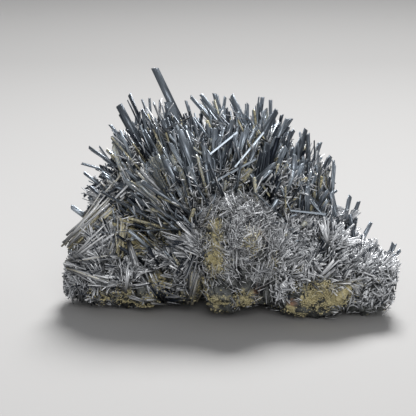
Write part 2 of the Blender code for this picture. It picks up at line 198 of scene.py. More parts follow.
# Ochre dust lies in patches. (middle, radius, how thick)
OCHRE_PATCHES = (
    ((-34.0, -8.0, 35.0), 6.0, 0.95),
    ((-26.0, -9.5, 32.0), 5.0, 1.15),
    ((-30.0, -11.0, 27.0), 6.5, 1.15),
    ((-20.5, -11.0, 25.0), 5.0, 1.00),
    ((-23.0, -13.5, 11.5), 3.6, 1.00),
    ((-5.5, -25.5, 34.0), 3.0, 0.85),
    ((-5.5, -27.5, 28.5), 3.3, 1.00),
    ((-5.5, -28.0, 23.0), 3.8, 1.15),
    ((-6.5, -27.0, 18.0), 2.8, 0.60),
    ((5.5, -29.0, 29.0), 4.0, 0.80),
    ((13.5, -23.0, 21.0), 2.6, 0.50),
    ((20.5, -25.5, 19.0), 3.0, 0.50),
    ((-9.0, -20.5, 12.0), 4.0, 0.50),
    ((-13.5, -15.0, 9.0), 4.5, 0.55),
    ((-42.7, -13.2, 5.5), 5.0, 0.50),
    ((-36.1, -16.2, 5.0), 5.5, 0.80),
    ((-26.6, -13.0, 4.5), 5.0, 0.60),
    ((-5.5, -26.4, 6.5), 5.5, 0.75),
    ((4.0, -29.1, 7.0), 6.0, 0.85),
    ((24.6, -27.3, 8.0), 6.5, 1.00),
    ((30.8, -29.0, 8.5), 7.0, 1.00),
    ((35.8, -26.4, 9.0), 6.0, 0.95),
    ((21.7, -24.1, 5.1), 5.0, 0.80),
    ((-8.0, 30.0, 14.0), 8.0, 0.60),
    ((26.0, 24.0, 16.0), 8.0, 0.50),
    ((-34.0, 18.0, 20.0), 8.0, 0.60),
)
# Small orange stains, in the same terms.
RUST_SPOTS = (
    ((8.6, -27.5, 31.5), 1.2, 1.0),
    ((8.1, -27.5, 12.0), 1.5, 1.0),
    ((7.8, -26.5, 7.5), 1.3, 1.0),
    ((19.1, -23.8, 7.6), 1.4, 1.0),
)
ZONE_EDGES = (-11.5, 14.0)  # the centre knob lies between these
BACK_FROM = 9.0
ROCK_HEIGHTS = (17.0, 5.5)  # how high the bare rock reaches: on the centre knob, and to its sides
# Felt on the open faces, in layers. (zone, bundles, needles in one, lengths, widths, how far it stands
# up from lying flat, how far a bundle opens, how freely bundles turn, the way it lies, tone)
FELT = (
    ("left", 560, 5, (7.0, 16.0), (0.40, 0.95), 0.30, 0.05, 0.80, (-0.45, -0.1, 0.55), 0.54),
    ("left", 1300, 4, (3.5, 9.5), (0.26, 0.55), 0.28, 0.16, 0.90, (-0.2, 0.0, 0.3), 0.46),
    ("centre", 2000, 4, (2.5, 7.5), (0.17, 0.32), 0.00, 0.35, 1.20, (0.1, 0.0, 0.2), 0.95),
    ("centre", 110, 3, (4.0, 9.0), (0.40, 0.70), 0.30, 0.12, 0.90, (0.1, 0.0, 0.4), 0.66),
    ("low", 280, 3, (3.5, 8.0), (0.18, 0.36), 0.00, 0.35, 1.20, (0.2, 0.0, 0.1), 0.80),
    ("right", 700, 4, (5.0, 11.0), (0.42, 0.95), 0.70, 0.10, 0.70, (0.35, -0.1, 0.40), 0.74),
    ("right", 1500, 4, (2.8, 7.0), (0.28, 0.60), 0.55, 0.28, 0.90, (0.2, 0.0, 0.3), 0.74),
    ("back", 760, 4, (4.5, 11.0), (0.50, 1.00), 0.60, 0.10, 0.60, (0.0, 0.2, 0.4), 0.5),
    ("back", 1500, 4, (2.5, 6.5), (0.32, 0.65), 0.50, 0.26, 0.85, (0.0, 0.1, 0.3), 0.5),
)
# Fans of needles that stand out from the felt. (apex, a point it opens towards, how wide its foot is,
# how far it opens, needles, lengths, widths, tone, dust)
FANS = (
    ((-54.0, -7.0, 15.9), (-36.0, -18.0, 27.6), 0.4, 0.15, 24, (14, 24), (0.45, 0.85), 0.80, 0.35),
    ((-53.5, -8.0, 14.4), (-38.0, -19.0, 13.4), 0.4, 0.12, 14, (12, 20), (0.45, 0.80), 0.80, 0.25),
    ((-52.5, -5.5, 21.6), (-34.0, -13.5, 42.0), 2.2, 0.06, 28, (14, 25), (0.50, 1.00), 0.72, 0.50),
    ((-47.0, -6.0, 30.0), (-31.0, -9.0, 46.0), 2.4, 0.08, 18, (12, 20), (0.50, 0.95), 0.60, 0.40),
    ((-38.0, -3.0, 44.0), (-50.0, -7.5, 34.0), 1.6, 0.16, 14, (10, 16), (0.55, 1.00), 0.25, 0.0),
    ((-36.0, -14.5, 21.0), (-34.5, -14.0, 36.0), 2.2, 0.10, 14, (7, 13), (0.50, 1.00), 0.60, 0.60),
    ((-33.3, -17.3, 26.0), (-30.5, -18.0, 18.0), 0.8, 0.07, 6, (7, 10), (0.60, 1.10), 0.70, 0.10),
    ((-14.5, -8.5, 31.0), (-28.0, -14.0, 34.5), 1.2, 0.16, 12, (8, 16), (0.45, 0.85), 0.60, 0.50),
    ((-14.5, -8.5, 30.0), (-26.5, -12.5, 45.0), 1.6, 0.13, 24, (14, 26), (0.60, 1.30), 0.60, 0.45),
    ((-34.4, -17.0, 8.5), (-33.8, -17.5, 20.5), 0.5, 0.11, 7, (7, 12), (0.40, 0.65), 0.75, 0.05),
    ((-24.0, -12.5, 6.0), (-29.0, -15.5, 20.0), 1.5, 0.15, 12, (7, 13), (0.50, 1.00), 0.40, 0.05),
    ((-13.5, -16.5, 6.5), (-9.0, -23.0, 30.0), 1.4, 0.12, 26, (10, 20), (0.45, 0.90), 0.70, 0.50),
    ((47.5, -11.0, 15.5), (55.0, -12.5, 21.5), 1.2, 0.20, 16, (6, 9.5), (0.70, 1.30), 0.35, 0.0),
    ((43.0, -10.5, 21.0), (49.5, -11.5, 28.5), 1.2, 0.16, 14, (6, 9), (0.70, 1.40), 0.35, 0.0),
    ((36.0, -8.0, 28.0), (41.0, -8.5, 36.5), 1.4, 0.15, 14, (6, 10), (0.70, 1.50), 0.35, 0.0),
    ((30.5, -23.5, 26.0), (28.0, -24.5, 34.0), 0.6, 0.16, 9, (6, 10), (0.50, 0.90), 0.85, 0.0),
    ((26.0, -25.0, 13.0), (33.0, -27.5, 21.0), 1.2, 0.08, 10, (6, 12), (0.50, 0.90), 0.60, 0.1),
    ((7.5, -28.3, 14.0), (9.0, -28.5, 25.0), 1.2, 0.05, 9, (6, 10), (0.35, 0.65), 0.25, 0.0),
)
# Dark clefts on both sides of the centre knob. (one end, other end, reach at the first, how much wider)
CLEFTS = (
    ((-11.0, -12.0, 33.0), (-11.4, -17.0, 13.0), 2.2, 0.0),
    ((13.8, -12.5, 35.0), (14.4, -17.5, 24.0), 2.2, 0.0),
)
# Broad flat blades at the front of the spray, in the terms of the fans.
BROAD_FANS = (
    ((-9.0, -9.0, 27.0), (-23.0, -10.5, 56.0), 3.6, 0.09, 18, (22, 34), (1.5, 2.9), 0.50, 0.40),
    ((-14.0, -8.0, 28.0), (-33.0, -9.5, 50.0), 3.0, 0.09, 10, (18, 28), (1.4, 2.4), 0.45, 0.40),
    ((-5.0, -9.0, 29.0), (-9.0, -10.5, 58.0), 3.2, 0.10, 9, (18, 30), (1.4, 2.5), 0.30, 0.05),
    ((8.0, -8.0, 29.0), (14.0, -9.5, 60.0), 3.2, 0.09, 10, (18, 31), (1.4, 2.5), 0.30, 0.05),
    ((20.0, -6.0, 27.0), (24.0, -8.0, 52.0), 3.2, 0.09, 10, (14, 24), (1.4, 2.4), 0.45, 0.05),
    ((4.0, -9.5, 33.0), (-6.0, -13.0, 50.0), 2.0, 0.16, 7, (12, 18), (1.0, 1.8), 0.50, 0.05),
    ((2.0, -9.5, 38.0), (14.0, -12.5, 52.0), 2.0, 0.16, 7, (12, 18), (1.0, 1.8), 0.50, 0.05),
)
# Which of the main crystals is the tall blade, and which ones are split into a sheaf of strands.
TALL_WIDTH, TALL_HEIGHT = 2.0, 70.0
TALL_TONE, TALL_DUST = 0.42, 0.08
SHEAF_WIDTH, SHEAF_THICKNESS = 2.75, 1.72
FILL_COUNT = 2400  # thin blades between the spray's main ones
FILL_SHARES = (0.55, 0.99)  # where they end, as shares of the dome
FILL_WIDTHS = (0.7, 2.0)
FILL_FLATTEST = 0.30  # the least that they rise, out of 1
THIN_LENGTH = 14.0  # of a thin blade, before it grows down into the ground mass
THIN_SINK = 0.93  # its root is inside a lump shrunk to this share
THIN_MOST = 4.0  # how many times as long it may grow
FOLLOWERS = 22  # blades that grow close beside each blade of the skyline and the front
WIDE_COUNT = 90  # wide blades that show their flat faces at the front of the spray
WIDE_WIDTHS = (1.9, 3.3)
WIDE_FLATNESS = 0.4
NEEDLE_GAP = 0.2  # what every other crystal leaves free round a loose needle
STRANDS = {"blades": 4, "wide": 5, "sheaves": 18, "broad": 5}  # how many each is split into
STRAYS = 2600  # fine needles that cross the blades at all angles
# Where tiny pale needles sprout from the blades, in the terms of the patches.
SPROUTS = (
    ((-14.0, -12.0, 49.0), 7.0, 1.0),
    ((-12.0, -14.0, 40.0), 6.0, 1.0),
    ((-3.0, -13.0, 43.0), 7.0, 1.0),
    ((20.0, -11.0, 43.0), 8.0, 1.0),
    ((-31.0, -9.0, 50.0), 6.0, 1.0),
    ((6.0, -10.0, 52.0), 5.0, 1.0),
)
SPROUT_COUNT = 2200
FELT_POINTS = 90000  # places on the lumps' skins that felt may grow from
CRUST_POINTS = 170000  # and places that a crumb of ochre may lie at
CRUST_GRAINS = 16000  # crumbs at most
CRUST_TONE, CRUST_DUST = 0.6, (0.8, 1.6)
CRUST_THINNEST = 0.27  # no crumb where the dust is thinner
GRAIN_SIZES = (0.12, 0.42)  # a crumb's half size, before it's drawn out
# How far out crumbs are caught among needles that face the front, in each zone.
CRUST_REACH = {"left": 4.0, "centre": 1.6, "low": 0.7, "right": 0.7, "back": 0.7}


def unit(vectors):
    """The same directions, each one long."""
    return vectors / np.linalg.norm(vectors, axis=-1, keepdims=True)


def ways_of(lean, pitch):
    """Unit directions that lean to +X by lean and to +Y by pitch, in degrees from upright."""
    lean, pitch = np.radians(lean), np.radians(pitch)
    return np.stack(
        [np.sin(lean) * np.cos(pitch), np.sin(pitch), np.cos(lean) * np.cos(pitch)], -1
    )


def boxed(out):
    """Directions, each scaled to end on the skin of a rounded box whose half sizes are all 1."""
    return out / (np.abs(out) ** BOXY).sum(-1, keepdims=True) ** (1 / BOXY)


def inside(points, lumps, share=1.0):
    """True for each point that lies in some lump shrunk to that share of its size."""
    found = np.zeros(len(points), bool)
    for centre, half in lumps:
        scaled = (points - np.array(centre)) / (share * np.array(half))
        found |= (np.abs(scaled) ** BOXY).sum(-1) < 1.0
    return found


def lattice_noise(points, width, seed):
    """Smooth noise from -1 to 1: random values at corners a width apart, eased between them."""
    table = np.random.default_rng(seed).uniform(-1, 1, (32, 32, 32))
    points = points / width
    corner = np.floor(points).astype(int)
    part = points - corner
    part = part * part * (3 - 2 * part)
    total = 0.0
    for step in np.ndindex(2, 2, 2):
        weight = np.where(step, part, 1 - part).prod(-1)
        x, y, z = np.moveaxis((corner + step) % 32, -1, 0)
        total = total + weight * table[x, y, z]
    return total


def spots(points, places, power=2):
    """How strong the strongest of some soft spots is at each point. (middle, radius, strength)"""
    total = np.zeros(len(points))
    for middle, radius, strength in places:
        away = np.linalg.norm(points - np.array(middle), axis=1) / radius
        total = np.maximum(total, strength * np.exp(-(away**power)))
    return total


def bunches(rng):
    """The part's small lumps: drawn one by one, as the part draws them."""
    found = []
    for name, count in BUNCHES.items():
        centre, half = (np.array(part) for part in LUMPS[name])
        made = 0
        while made < count:
            out = boxed(rng.normal(size=3))
            middle = centre + out * half * BUNCH_DEPTH
            if inside((centre + out * half)[None], LUMPS.values(), 0.97)[0]:
                continue
            if any(np.linalg.norm(middle - other) < BUNCH_HALF_SIZES[0] for other, _ in found):
                continue
            size = rng.uniform(*BUNCH_HALF_SIZES, 3)
            if middle[2] - size[2] < BUNCH_LOWEST or abs(middle[1]) + size[1] > HALF_BOX[1]:
                continue
            found.append((middle, size))
            made += 1
    return found


def spray(rng):
    """The part's scattered spray: ends, ways and widths, drawn one by one, as the part draws them."""
    found = []
    for count, shares, width_range, scatter in SPRAY.values():
        made = 0
        while made < count:
            out = unit(rng.normal(size=3))
            out[2] = abs(out[2])
            if out[2] < SPRAY_FLATTEST:
                continue
            tip = SPRAY_HEART + out * dome_towards(out) * rng.uniform(*shares)
            way = unit(unit(tip - SPRAY_HEART) + rng.normal(size=3) * scatter)
            found.append((tip, way, rng.uniform(*width_range), rng.uniform(0, 180)))
            made += 1
    return [np.array(column) for column in zip(*found, strict=True)]


def dome_towards(out):
    """The dome's half sizes on the sides that each direction points to."""
    return np.where(out > 0, (DOME_RIGHT, DOME_BACK, DOME_UP), (DOME_LEFT, DOME_FRONT, DOME_UP))


# --------------------------------------
# Tables of crystals. A table is a dict of arrays with one row for each crystal.


def table(root, way, length, width, thickness, turn, tone, dust=0.0, bend=0.0):
    """Crystals as arrays. tone is 0 for dark to 1 for pale, dust 0 for clean to 1 for ochre."""
    count = len(root)
    rows = dict(length=length, width=width, thickness=thickness, turn=turn, tone=tone, dust=dust, bend=bend)
    rows = {name: np.full(count, value, float) for name, value in rows.items()}
    rows.update(root=np.asarray(root, float), way=unit(np.asarray(way, float)))
    return rows


def joined(*tables):
    """One table with the rows of all."""
    return {name: np.concatenate([rows[name] for rows in tables]) for name in tables[0]}


def only(rows, keep):
    """The rows that keep picks out."""
    return {name: values[keep] for name, values in rows.items()}


def tips(rows):
    """Where the crystals end."""
    return rows["root"] + rows["way"] * rows["length"][:, None]


def rooted(rows, lumps, share=SINK, most=2.2):
    """The crystals that reach the ground mass, each made longer until its root is well inside it."""
    tip = tips(rows)
    first = rows["length"].copy()
    while True:
        short = ~inside(tip - rows["way"] * rows["length"][:, None], lumps, share)
        growing = short & (rows["length"] + 1.0 <= first * most)
        if not growing.any():
            break
        rows["length"][growing] += 1.0
    rows["root"] = tip - rows["way"] * rows["length"][:, None]
    return only(rows, ~short)


def clear_of(rows, start, end, gap):
    """True for each crystal that keeps the gap from the straight needle that runs from start to end."""
    share = np.linspace(0, 1, 21)
    along = rows["root"][:, None] + rows["way"][:, None] * (rows["length"][:, None, None] * share[:, None])
    other = np.array(start) + share[:, None] * (np.array(end) - np.array(start))
    distance = np.linalg.norm(along[:, :, None] - other[None, None], axis=-1).min((1, 2))
    return distance > rows["width"] / 2 + gap


def clear_of_loose_needles(rows):
    """The crystals that leave the gap free round every loose needle."""
    keep = np.ones(len(rows["root"]), bool)
    for start, end, width in LOOSE_NEEDLES.values():
        keep &= clear_of(rows, start, end, width / 2 + NEEDLE_GAP)
    return only(rows, keep)


def dusting(count, rng):
    """Dust on about one blade in five, thin enough to turn it beige."""
    return np.where(rng.uniform(0, 1, count) < 0.22, rng.uniform(0.35, 0.75, count), 0.0)


def thin_blades(end, way, width, rng):
    """Thin blades that end at the given points, each with a drawn thickness, turn, tone and dust."""
    count = len(end)
    return table(
        end - way * THIN_LENGTH, way, THIN_LENGTH, width, width * rng.uniform(0.4, 0.9, count),
        rng.uniform(0, 180, count), rng.uniform(0, 1, count) ** 1.3, dusting(count, rng),
    )


def followers(rows, count, rng):
    """Blades close beside each given one, a little shorter, turned a little off its way."""
    parent = np.repeat(np.arange(len(rows["root"])), count)
    rows = only(rows, parent)
    back = rng.uniform(1.0, THIN_LENGTH, len(parent))[:, None]
    tip = tips(rows) - rows["way"] * back + rng.normal(size=(len(parent), 3)) * (2.6, 4.5, 1.2)
    astray = np.where(rng.uniform(0, 1, (len(parent), 1)) < 0.2, 0.42, 0.15)
    way = unit(rows["way"] + rng.normal(size=(len(parent), 3)) * astray)
    width = rng.uniform(0.7, 2.2, len(parent)) * rng.uniform(0.6, 1.0, len(parent))
    return thin_blades(tip, way, width, rng)


def strays(rows, count, rng):
    """Fine needles, each through a point of some given crystal but turned well off its way."""
    rows = only(rows, rng.integers(0, len(rows["root"]), count))
    share = rng.uniform(0.55, 0.95, count)[:, None]
    middle = rows["root"] + rows["way"] * rows["length"][:, None] * share
    way = unit(rows["way"] + rng.normal(size=(count, 3)) * 0.55)
    length = rng.uniform(4.0, 13.0, count)
    width = rng.uniform(0.28, 0.70, count)
    return table(
        middle - way * length[:, None] * 0.5, way, length, width, width * 0.7, rng.uniform(0, 180, count),
        np.clip(0.6 + 0.3 * rng.normal(size=count), 0, 1), 0.0,
    )


def sprouts(rows, count, rng):
    """Tiny pale needles at all angles, on the crystals' sides where some patch of sprouts is near."""
    rows = only(rows, rng.integers(0, len(rows["root"]), count * 12))
    share = rng.uniform(0.35, 0.98, len(rows["root"]))[:, None]
    foot = rows["root"] + rows["way"] * rows["length"][:, None] * share
    foot = foot[spots(foot, SPROUTS) > rng.uniform(0.15, 1.0, len(foot))][:count]
    way = unit(rng.normal(size=foot.shape) + (0.0, -0.3, 0.3))
    width = rng.uniform(0.26, 0.50, len(foot))
    return table(
        foot, way, rng.uniform(1.5, 4.2, len(foot)), width, width, rng.uniform(0, 180, len(foot)),
        np.clip(0.95 + 0.2 * rng.normal(size=len(foot)), 0, 1), 0.0,
    )


def strands(rows, count, rng):
    """Splits each crystal lengthways into thinner ones side by side, with their ends in steps."""
    parent = np.repeat(np.arange(len(rows["root"])), count)
    rows = only(rows, parent)
    side, other = cross_axes(rows)
    across = rng.uniform(-0.42, 0.42, len(parent))[:, None] * rows["width"][:, None]
    through = rng.uniform(-0.42, 0.42, len(parent))[:, None] * rows["thickness"][:, None]
    cut = rng.uniform(0.0, 0.16, len(parent)) * np.minimum(rows["length"], 24.0)
    made = dict(rows)
    made["root"] = rows["root"] + side * across + other * through
    made["way"] = unit(rows["way"] + rng.normal(size=rows["way"].shape) * 0.012)
    made["length"] = rows["length"] - cut
    made["width"] = rows["width"] * rng.uniform(0.22, 0.5, len(parent))
    made["thickness"] = made["width"] * rng.uniform(0.6, 1.0, len(parent))
    made["turn"] = rows["turn"] + rng.uniform(-14, 14, len(parent))
    made["tone"] = np.clip(rows["tone"] + rng.normal(size=len(parent)) * 0.2, 0, 1)
    return made


def cross_axes(rows):
    """Two unit vectors square to each crystal, turned about it by its turn."""
    way = rows["way"]
    upright = np.where(np.abs(way[:, 2:3]) < 0.9, (0.0, 0.0, 1.0), (1.0, 0.0, 0.0))
    side = unit(np.cross(upright, way))
    other = np.cross(way, side)
    turn = np.radians(rows["turn"])[:, None]
    return side * np.cos(turn) + other * np.sin(turn), other * np.cos(turn) - side * np.sin(turn)


# --------------------------------------
# Meshes.


def mesh_object(name, points, quads, caps, colour, strip):
    """One object from arrays: points, four-sided faces, end faces, a colour for each point and a UV."""
    data = bpy.data.meshes.new(name)
    loops = np.concatenate([quads.ravel(), caps.ravel()]).astype(np.int32)
    sizes = np.concatenate([np.full(len(quads), quads.shape[1]), np.full(len(caps), caps.shape[1])])
    starts = np.concatenate([[0], np.cumsum(sizes)[:-1]]).astype(np.int32)
    data.vertices.add(len(points))
    data.vertices.foreach_set("co", (points * MM).astype(np.float32).ravel())
    data.loops.add(len(loops))
    data.loops.foreach_set("vertex_index", loops)
    data.polygons.add(len(sizes))
    data.polygons.foreach_set("loop_start", starts)
    data.update(calc_edges=True)
    shade = data.attributes.new("crystal", "FLOAT_COLOR", "POINT")
    colour = np.column_stack([colour, rust_at(points)])
    shade.data.foreach_set("color", colour.astype(np.float32).ravel())
    layer = data.uv_layers.new(name="strip")
    layer.data.foreach_set("uv", strip[loops].astype(np.float32).ravel())
    made = bpy.data.objects.new(name, data)
    bpy.context.scene.collection.objects.link(made)
    return made


def prisms(rows, sides, rings, rng):
    """Points and faces of long prisms, all at once.

    A corner at angle a on the ring at share t of the length lies at
    root + way * (t * length + cut) + side * cos(a) * width / 2 + other * sin(a) * thickness / 2,
    and bend * t * t is added along side. Each ring is a little wider or narrower than the last, as
    growth steps are, and cut slants the last ring. The two end rings are faces of their own.
    """
    count = len(rows["root"])
    angle = 2 * np.pi * (np.arange(sides) + 0.5) / sides
    share = np.linspace(0, 1, rings)
    side, other = cross_axes(rows)
    step = 1 + rng.uniform(-0.10, 0.06, (count, rings))
    step[:, -1] *= rng.uniform(0.72, 1.0, count)
    across = (rows["width"][:, None] / 2 * step)[:, :, None] * np.cos(angle)
    through = (rows["thickness"][:, None] / 2 * step)[:, :, None] * np.sin(angle)
    slant = rng.uniform(-0.45, 0.45, count) * np.minimum(rows["width"], 1.5)
    ahead = (rows["length"][:, None] * share)[:, :, None] * np.ones(sides)
    ahead[:, -1] += slant[:, None] * np.cos(angle)
    bend = (rows["bend"][:, None] * share**2)[:, :, None]
    points = (
        rows["root"][:, None, None]
        + rows["way"][:, None, None] * ahead[..., None]
        + side[:, None, None] * (across + bend)[..., None]
        + other[:, None, None] * through[..., None]
    )
    index = np.arange(count * rings * sides).reshape(count, rings, sides)
    after = np.roll(index, -1, axis=2)
    quads = np.stack([index[:, :-1], after[:, :-1], after[:, 1:], index[:, 1:]], -1).reshape(-1, 4)
    caps = np.concatenate([index[:, -1], index[:, 0, ::-1]])
    tone, dust = (rows[name][:, None, None] for name in ("tone", "dust"))
    colour = np.stack(np.broadcast_arrays(tone, dust, share[:, None], index)[:3], -1).reshape(-1, 3)
    around = np.broadcast_to(np.arange(sides) / sides, index.shape) * rows["width"][:, None, None] * 3
    offset = rng.uniform(0, 50, count)[:, None, None]
    strip = np.stack([around + offset, ahead + offset], -1).reshape(-1, 2)
    return points.reshape(-1, 3), quads, caps, colour, strip


def ball_grid(across, around):
    """Unit vectors on a grid of two angles, without its poles."""
    down = np.linspace(0.0, np.pi, across + 2)[1:-1]
    turn = np.linspace(0.0, 2 * np.pi, around, endpoint=False)
    flat = np.sin(down)[:, None]
    return np.stack([flat * np.cos(turn), flat * np.sin(turn), np.cos(down)[:, None] + 0 * turn], -1)


def shells_object(name, points, tone, dust):
    """Closed shells from points of shape (shell, row, column, 3). One face closes each pole."""
    count, across, around = points.shape[:3]
    index = np.arange(count * across * around).reshape(count, across, around)
    after = np.roll(index, -1, axis=2)
    quads = np.stack([index[:, :-1], index[:, 1:], after[:, 1:], after[:, :-1]], -1).reshape(-1, 4)
    caps = np.concatenate([index[:, 0], index[:, -1, ::-1]])
    points = points.reshape(-1, 3)
    colour = np.column_stack(np.broadcast_arrays(tone, dust, np.full(len(points), 0.5)))
    return mesh_object(name, points, quads, caps, colour, points[:, [0, 2]] * (2.0, 1.0))


# --------------------------------------
# Where dust lies, and the felt.


def ochre_at(points):
    """How thick the ochre lies at each point: its patches, broken up by three noises."""
    broken = 0.5 + 0.8 * lattice_noise(points, 2.6, 71) + 0.9 * lattice_noise(points, 1.1, 72)
    broken = broken + 0.5 * lattice_noise(points, 0.5, 73)
    return np.clip(spots(points, OCHRE_PATCHES) * (0.6 + broken) - 0.10, 0, 1)


def rust_at(points):
    """How orange each point is: the stains, broken up by a noise."""
    stains = spots(points, RUST_SPOTS, 4)
    return np.clip(stains * (0.8 + 0.9 * lattice_noise(points, 0.8, 74)), 0, 1)


def open_faces(lumps, count, rng):
    """Points spread over the outside of all the lumps, with the way out at each."""
    centres = np.array([centre for centre, _ in lumps])
    halves = np.array([half for _, half in lumps])
    area = np.prod(halves, axis=1) ** (2 / 3)
    which = rng.choice(len(lumps), count, p=area / area.sum())
    out = boxed(rng.normal(size=(len(which), 3)))
    points = centres[which] + out * halves[which]
    keep = points[:, 2] > 0.3
    for number, (centre, half) in enumerate(lumps):
        within = (np.abs((points - centre) / half) ** BOXY).sum(-1) < 0.94
        keep &= ~(within & (which != number))
    slope = np.sign(out) * np.abs(out) ** (BOXY - 1) / halves[which]
    return points[keep], unit(slope[keep])


def zone_of(points):
    """Names of zones: the back, the low bare rock of the front, and left, centre and right above it."""
    wander = 2.5 * lattice_noise(points, 9.0, 81)
    x = points[:, 0] + wander
    front = np.where(x < ZONE_EDGES[0], "left", np.where(x < ZONE_EDGES[1], "centre", "right"))
    rock = np.where(front == "centre", ROCK_HEIGHTS[0], ROCK_HEIGHTS[1])
    front = np.where(points[:, 2] + wander < rock, "low", front)
    return np.where(points[:, 1] + wander > BACK_FROM, "back", front)


def within_outline(points):
    """True for each point that the front outline goes round: a line across from it crosses it once."""
    across = points[:, 0]
    up = points[:, 2] * math.cos(FRONT_RISE) + points[:, 1] * math.sin(FRONT_RISE)
    corners = np.array(FRONT_OUTLINE)
    found = np.zeros(len(points), bool)
    for (x0, z0), (x1, z1) in zip(corners, np.roll(corners, -1, axis=0), strict=True):
        if z0 != z1:
            found ^= ((z0 > up) != (z1 > up)) & (across < x0 + (up - z0) / (z1 - z0) * (x1 - x0))
    return found


def within_bounds(rows):
    """The crystals that stay off the surface below, in the front outline and in the specimen's own box."""
    tip = tips(rows)
    low = np.minimum(rows["root"][:, 2], tip[:, 2])
    keep = (low > FINE_LOWEST) & (np.abs(tip[:, :2]) < FINE_HALF_BOX).all(1)
    return only(rows, keep & within_outline(tip))


def fitting(rows):
    """The crystals that stay within bounds and clear of the loose needles."""
    return clear_of_loose_needles(within_bounds(rows))


def kept_open(points):
    """True for each point that lies under some fan, or in a cleft: within a reach of its middle line."""
    found = np.zeros(len(points), bool)
    lines = [(apex, towards, 1.2, 2.4) for apex, towards, *_ in FANS]
    for start, end, reach, widening in (*lines, *CLEFTS):
        start = np.array(start)
        run = np.array(end) - start
        along = np.clip((points - start) @ run / (run @ run), 0, 1)
        away = np.linalg.norm(points - start - along[:, None] * run, axis=1)
        found |= away < reach + widening * along
    return found


def felt(layer, points, normals, rng):
    """Short needles in bundles, one layer of one zone.

    A bundle's way is the way out times how far the layer stands up, plus the way the layer lies, plus a
    slow swirl and a draw of its own. Low on the specimen it lies flat, as in a broken rind. A needle's
    way is its bundle's plus a little of its own.
    """
    zone, bundles, in_bundle, lengths, widths, stand, opening, free, lie, tone = layer
    rind = np.clip((points[:, 2] - 5.0) / 12.0, 0.0, 1.0) * np.clip(normals[:, 2] * 1.5 + 0.9, 0.0, 1.0)
    pits = lattice_noise(points, 3.6, 85)
    bare = 1.15 * spots(points, OCHRE_PATCHES) + 0.65 * kept_open(points)
    bare = bare + 0.3 * (1 - rind) + 0.8 * (pits > 0.30)
    here = np.flatnonzero((zone_of(points) == zone) & (rng.uniform(0, 1, len(points)) > bare))
    here = rng.permutation(here)[:bundles]
    points, normals, rind = points[here], normals[here], rind[here]
    swirl = np.stack([lattice_noise(points, 6.5, seed) for seed in (91, 92, 93)], -1)
    way = stand * normals + np.array(lie) + 0.5 * swirl + free * rng.normal(size=points.shape) * 0.8
    rise = (way * normals).sum(-1, keepdims=True)
    flat = way - rise * normals
    up = np.maximum(rise * min(1.0, 4 * stand), 0.06 + 0.45 * stand) * (0.12 + 0.88 * rind[:, None])
    way = unit(flat + up * normals)

    parent = np.repeat(np.arange(len(points)), in_bundle)
    count = len(parent)
    needle_way = unit(way[parent] + opening * rng.normal(size=(count, 3)))
    reach = (needle_way * normals[parent]).sum(-1, keepdims=True)
    needle_way = unit(needle_way + np.maximum(0.05 - reach, 0) * normals[parent])
    size = rng.uniform(0, 1, len(points))[parent]
    length = (lengths[0] + (lengths[1] - lengths[0]) * size**1.6) * rng.uniform(0.6, 1.0, count)
    length *= 0.75 + 0.25 * rind[parent]
    buried = 0.30 + 0.15 * (1 - rind[parent])
    foot = points[parent] + rng.normal(size=(count, 3)) * (0.5 + 1.5 * opening)
    root = foot - needle_way * (length * buried)[:, None]
    width = rng.uniform(*widths, count) * rng.uniform(0.75, 1.0, count)
    clouds = 0.25 * lattice_noise(points, 5.5, 86) + 0.20 * rng.normal(size=len(points))
    tone = tone + clouds[parent] + 0.40 * rng.normal(size=count)
    dust = np.clip(0.85 * ochre_at(points)[parent] + rng.normal(size=count) * 0.08, 0, 1)
    made = table(
        root, needle_way, length, width, width * rng.uniform(0.45, 1.0, count),
        rng.uniform(0, 180, count), np.clip(tone, 0, 1), dust,
    )
    return fitting(made)


def fans(rows, rng):
    """Needles that start by an apex and run near the point it opens to, their wide faces to the front."""
    found = []
    for apex, towards, foot, opening, count, lengths, widths, tone, dust in rows:
        way = unit(np.array(towards) - np.array(apex))
        ways = unit(way + opening * rng.normal(size=(count, 3)))
        width = rng.uniform(*widths, count)
        found.append(
            table(
                np.array(apex) + rng.normal(size=(count, 3)) * foot * 0.6, ways, rng.uniform(*lengths, count),
                width, width * rng.uniform(0.5, 0.8, count), 90 + 30 * rng.normal(size=count),
                np.clip(tone + 0.30 * rng.normal(size=count), 0, 1),
                np.clip(dust + 0.15 * rng.normal(size=count), 0, 1), rng.normal(size=count) * 0.2,
            )
        )
    return fitting(joined(*found))


def crust(points, normals, rng):
    """Crumbs of ochre: little balls, each drawn out at random, where the dust lies thickest."""
    thick = ochre_at(points) + 0.12 * rng.normal(size=len(points))
    here = np.argsort(-thick)[:CRUST_GRAINS]
    here = here[thick[here] > CRUST_THINNEST]
    ball = ball_grid(2, 4)
    count = len(here)
    size = GRAIN_SIZES[0] + (GRAIN_SIZES[1] - GRAIN_SIZES[0]) * rng.uniform(0, 1, (count, 1)) ** 3
    size = size * rng.uniform(0.6, 1.2, (count, 3))
    lumpy = 1 + rng.uniform(-0.35, 0.35, (count, *ball.shape[:2], 1))
    caught = np.array([CRUST_REACH[zone] for zone in zone_of(points[here])])
    caught = caught * np.clip(-normals[here][:, 1], 0.25, 1.0)
    middle = points[here] + normals[here] * (rng.uniform(-0.5, 1.0, count) * caught)[:, None]
    middle[:, 2] = np.maximum(middle[:, 2], 0.9)
    return middle[:, None, None] + ball * size[:, None, None] * lumpy


# --------------------------------------
# Materials.


def linear(colour):
    """A linear RGBA from an sRGB hex string."""
    parts = [int(colour[i : i + 2], 16) / 255 for i in (1, 3, 5)]
    return tuple(p / 12.92 if p <= 0.04045 else ((p + 0.055) / 1.055) ** 2.4 for p in parts) + (1.0,)


